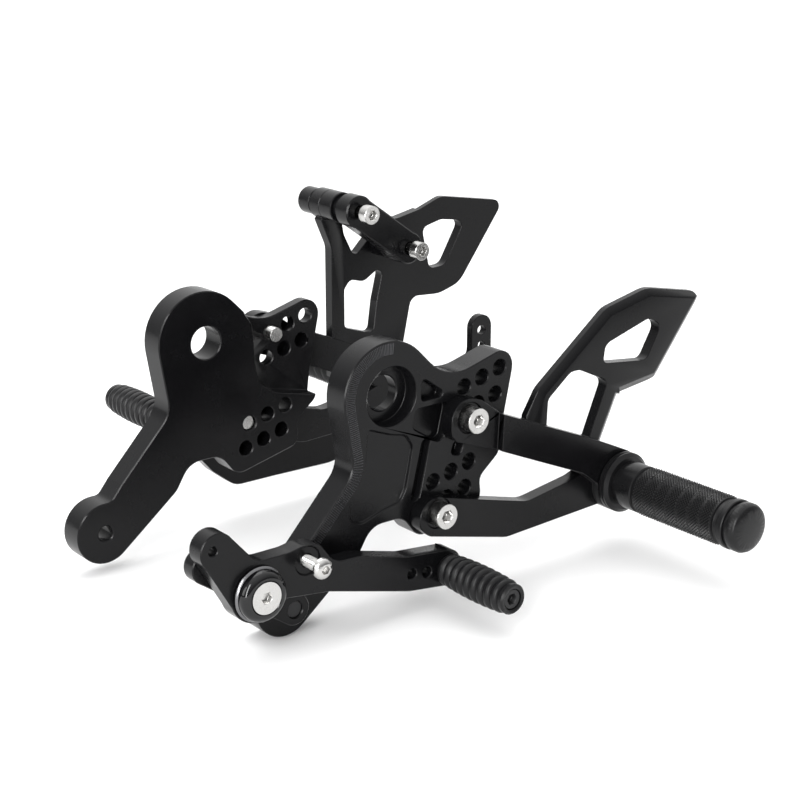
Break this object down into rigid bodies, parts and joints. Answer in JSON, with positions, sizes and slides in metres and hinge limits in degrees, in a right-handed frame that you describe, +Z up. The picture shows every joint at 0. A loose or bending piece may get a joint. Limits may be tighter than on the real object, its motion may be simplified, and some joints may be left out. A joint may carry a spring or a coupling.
{
  "type": "rear sets footrest",
  "caption": "Pair of machined motorcycle rear sets: hole-grid side plates, two-armed peg brackets with heel guards, knurled foot pegs, a shift lever and a brake lever.",
  "frame": {"origin": "left plate's frame bore, on its axis at the plate's inner face", "axes": "+Y from the left plate to the right plate along the frame bores, +X to the rear, +Z up"},
  "size_m": [0.33, 0.3536, 0.183],
  "materials": {
    "anodised_black": "satin black anodised",
    "anodised_peg": "matte black anodised, knurled",
    "stainless": "bright stainless",
    "black_screw": "black oxide",
    "bronze": "sintered bronze",
    "bare_aluminium": "dark anodised with a bright turned rim"
  },
  "bodies": {
    "chassis": {"left_main_plate": "anodised_black", "left_peg_bracket": "anodised_black", "left_bracket_bolts": "stainless", "left_foot_peg": "anodised_peg", "left_peg_end_cap": "anodised_peg", "left_peg_bolt": "black_screw", "pedal_carrier": "anodised_black", "carrier_screw": "black_screw", "shift_pivot_bush": "bronze", "shift_pivot_washer": "bare_aluminium", "shift_pivot_cap": "anodised_black", "shift_pivot_bolt": "stainless", "right_main_plate": "anodised_black", "right_peg_bracket": "anodised_black", "right_bracket_bolts": "stainless", "right_foot_peg": "anodised_peg", "right_peg_end_cap": "anodised_peg", "right_peg_bolt": "black_screw", "brake_pivot_bush": "bronze", "cylinder_link": "anodised_black", "cylinder_spacers": "anodised_black", "cylinder_bolts": "stainless"},
    "shift_lever": {"shift_pedal": "anodised_black", "shift_rod_bolt": "stainless", "shift_toe_peg": "anodised_peg", "shift_toe_screw": "black_screw"},
    "brake_lever": {"brake_pedal": "anodised_black", "brake_rod_lug": "anodised_black", "brake_toe_peg": "anodised_peg", "brake_toe_screw": "black_screw"}
  },
  "joints": [
    {"name": "shift_pivot", "type": "hinge", "parent": "chassis", "child": "shift_lever", "pos_m": [-0.092, -0.0283, -0.072], "axis": [0, -1, 0], "range_deg": [-12, 4]},
    {"name": "brake_pivot", "type": "hinge", "parent": "chassis", "child": "brake_lever", "pos_m": [0.1194, 0.1363, -0.0529], "axis": [0, -1, 0], "range_deg": [0, 12]}
  ]
}
